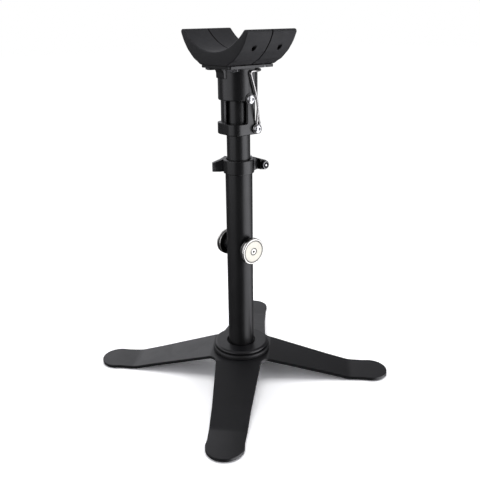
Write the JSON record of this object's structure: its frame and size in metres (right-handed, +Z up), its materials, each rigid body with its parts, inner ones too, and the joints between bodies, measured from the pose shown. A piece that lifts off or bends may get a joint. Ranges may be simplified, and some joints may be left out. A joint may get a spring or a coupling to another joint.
{
  "type": "telescopic hoof stand",
  "caption": "Telescopic pillar on a pressed star base with a U-shaped rubber cradle, quick-release height clamp, tool magnets and a wire bail on the swivel head.",
  "frame": {"origin": "floor point under the pillar axis", "axes": "+Z up along the pillar, X along the magnet and clamp-bolt axis, Y along the cradle trough"},
  "size_m": [0.278, 0.278, 0.422],
  "materials": {
    "black_steel": "satin black powder coat",
    "black_tube": "satin black coated tube",
    "black_alloy": "satin black anodised alloy",
    "foot_rubber": "matte",
    "cradle_rubber": "matte moulded rubber",
    "black_polymer": "matte",
    "grip_plastic": "fine texture",
    "pale_polymer": "matte",
    "raw_steel": "turned",
    "zinc_steel": "bright zinc plate",
    "nickel": "bright nickel plate",
    "magnet_face": "nickel-plated magnet, warm tint",
    "dark_screw": "blackened",
    "bare_alloy": "satin",
    "spring_wire": "bright drawn wire"
  },
  "bodies": {
    "base": {"star_base": "black_steel", "foot_pads": "foot_rubber", "hub_ring": "black_polymer", "post_flange": "black_steel", "tube_plug": "raw_steel", "base_bolt": "zinc_steel", "base_washer": "zinc_steel", "outer_tube": "black_tube", "guide_bush": "black_polymer", "magnet_standoffs": "black_steel", "magnet_cups": "nickel", "magnet_rings": "magnet_face", "magnet_screws": "nickel", "clamp_ring": "black_alloy", "clamp_washer": "zinc_steel", "clamp_bolt": "zinc_steel", "clamp_cam_pin": "zinc_steel"},
    "lever": {"clamp_lever": "bare_alloy", "clamp_lever_grip": "grip_plastic"},
    "nut": {"clamp_nut": "black_alloy"},
    "post": {"inner_post": "black_tube", "post_end_guide": "black_polymer", "post_top_plug": "raw_steel", "thrust_washer": "pale_polymer", "retaining_screw": "zinc_steel"},
    "head": {"head_carrier": "black_alloy", "swivel_bush_lower": "pale_polymer", "swivel_bush_upper": "pale_polymer", "cradle_socket": "black_alloy", "head_plate": "black_steel", "cradle_pad_front": "cradle_rubber", "cradle_pad_rear": "cradle_rubber", "pad_inserts": "raw_steel", "pad_screws": "dark_screw", "catch_screws": "zinc_steel", "bail_pivot_screws": "zinc_steel"},
    "bail": {"latch_bail": "spring_wire"}
  },
  "joints": [
    {"name": "post_height", "type": "slide", "parent": "base", "child": "post", "axis": [0, 0, 1], "range_m": [-0.028, 0.13]},
    {"name": "head_swivel", "type": "hinge", "parent": "post", "child": "head", "pos_m": [0, 0, 0.365], "axis": [0, 0, 1], "continuous": true},
    {"name": "bail_swing", "type": "hinge", "parent": "head", "child": "bail", "pos_m": [0, 0.0098, 0.3151], "axis": [-1, 0, 0], "range_deg": [0, 90]},
    {"name": "lever_turn", "type": "hinge", "parent": "base", "child": "lever", "pos_m": [-0.0219, 0.0284, 0.2693], "axis": [0, 0, -1], "range_deg": [0, 165]},
    {"name": "nut_turn", "type": "hinge", "parent": "base", "child": "nut", "pos_m": [0.0142, 0.0284, 0.2693], "axis": [1, 0, 0], "continuous": true}
  ]
}
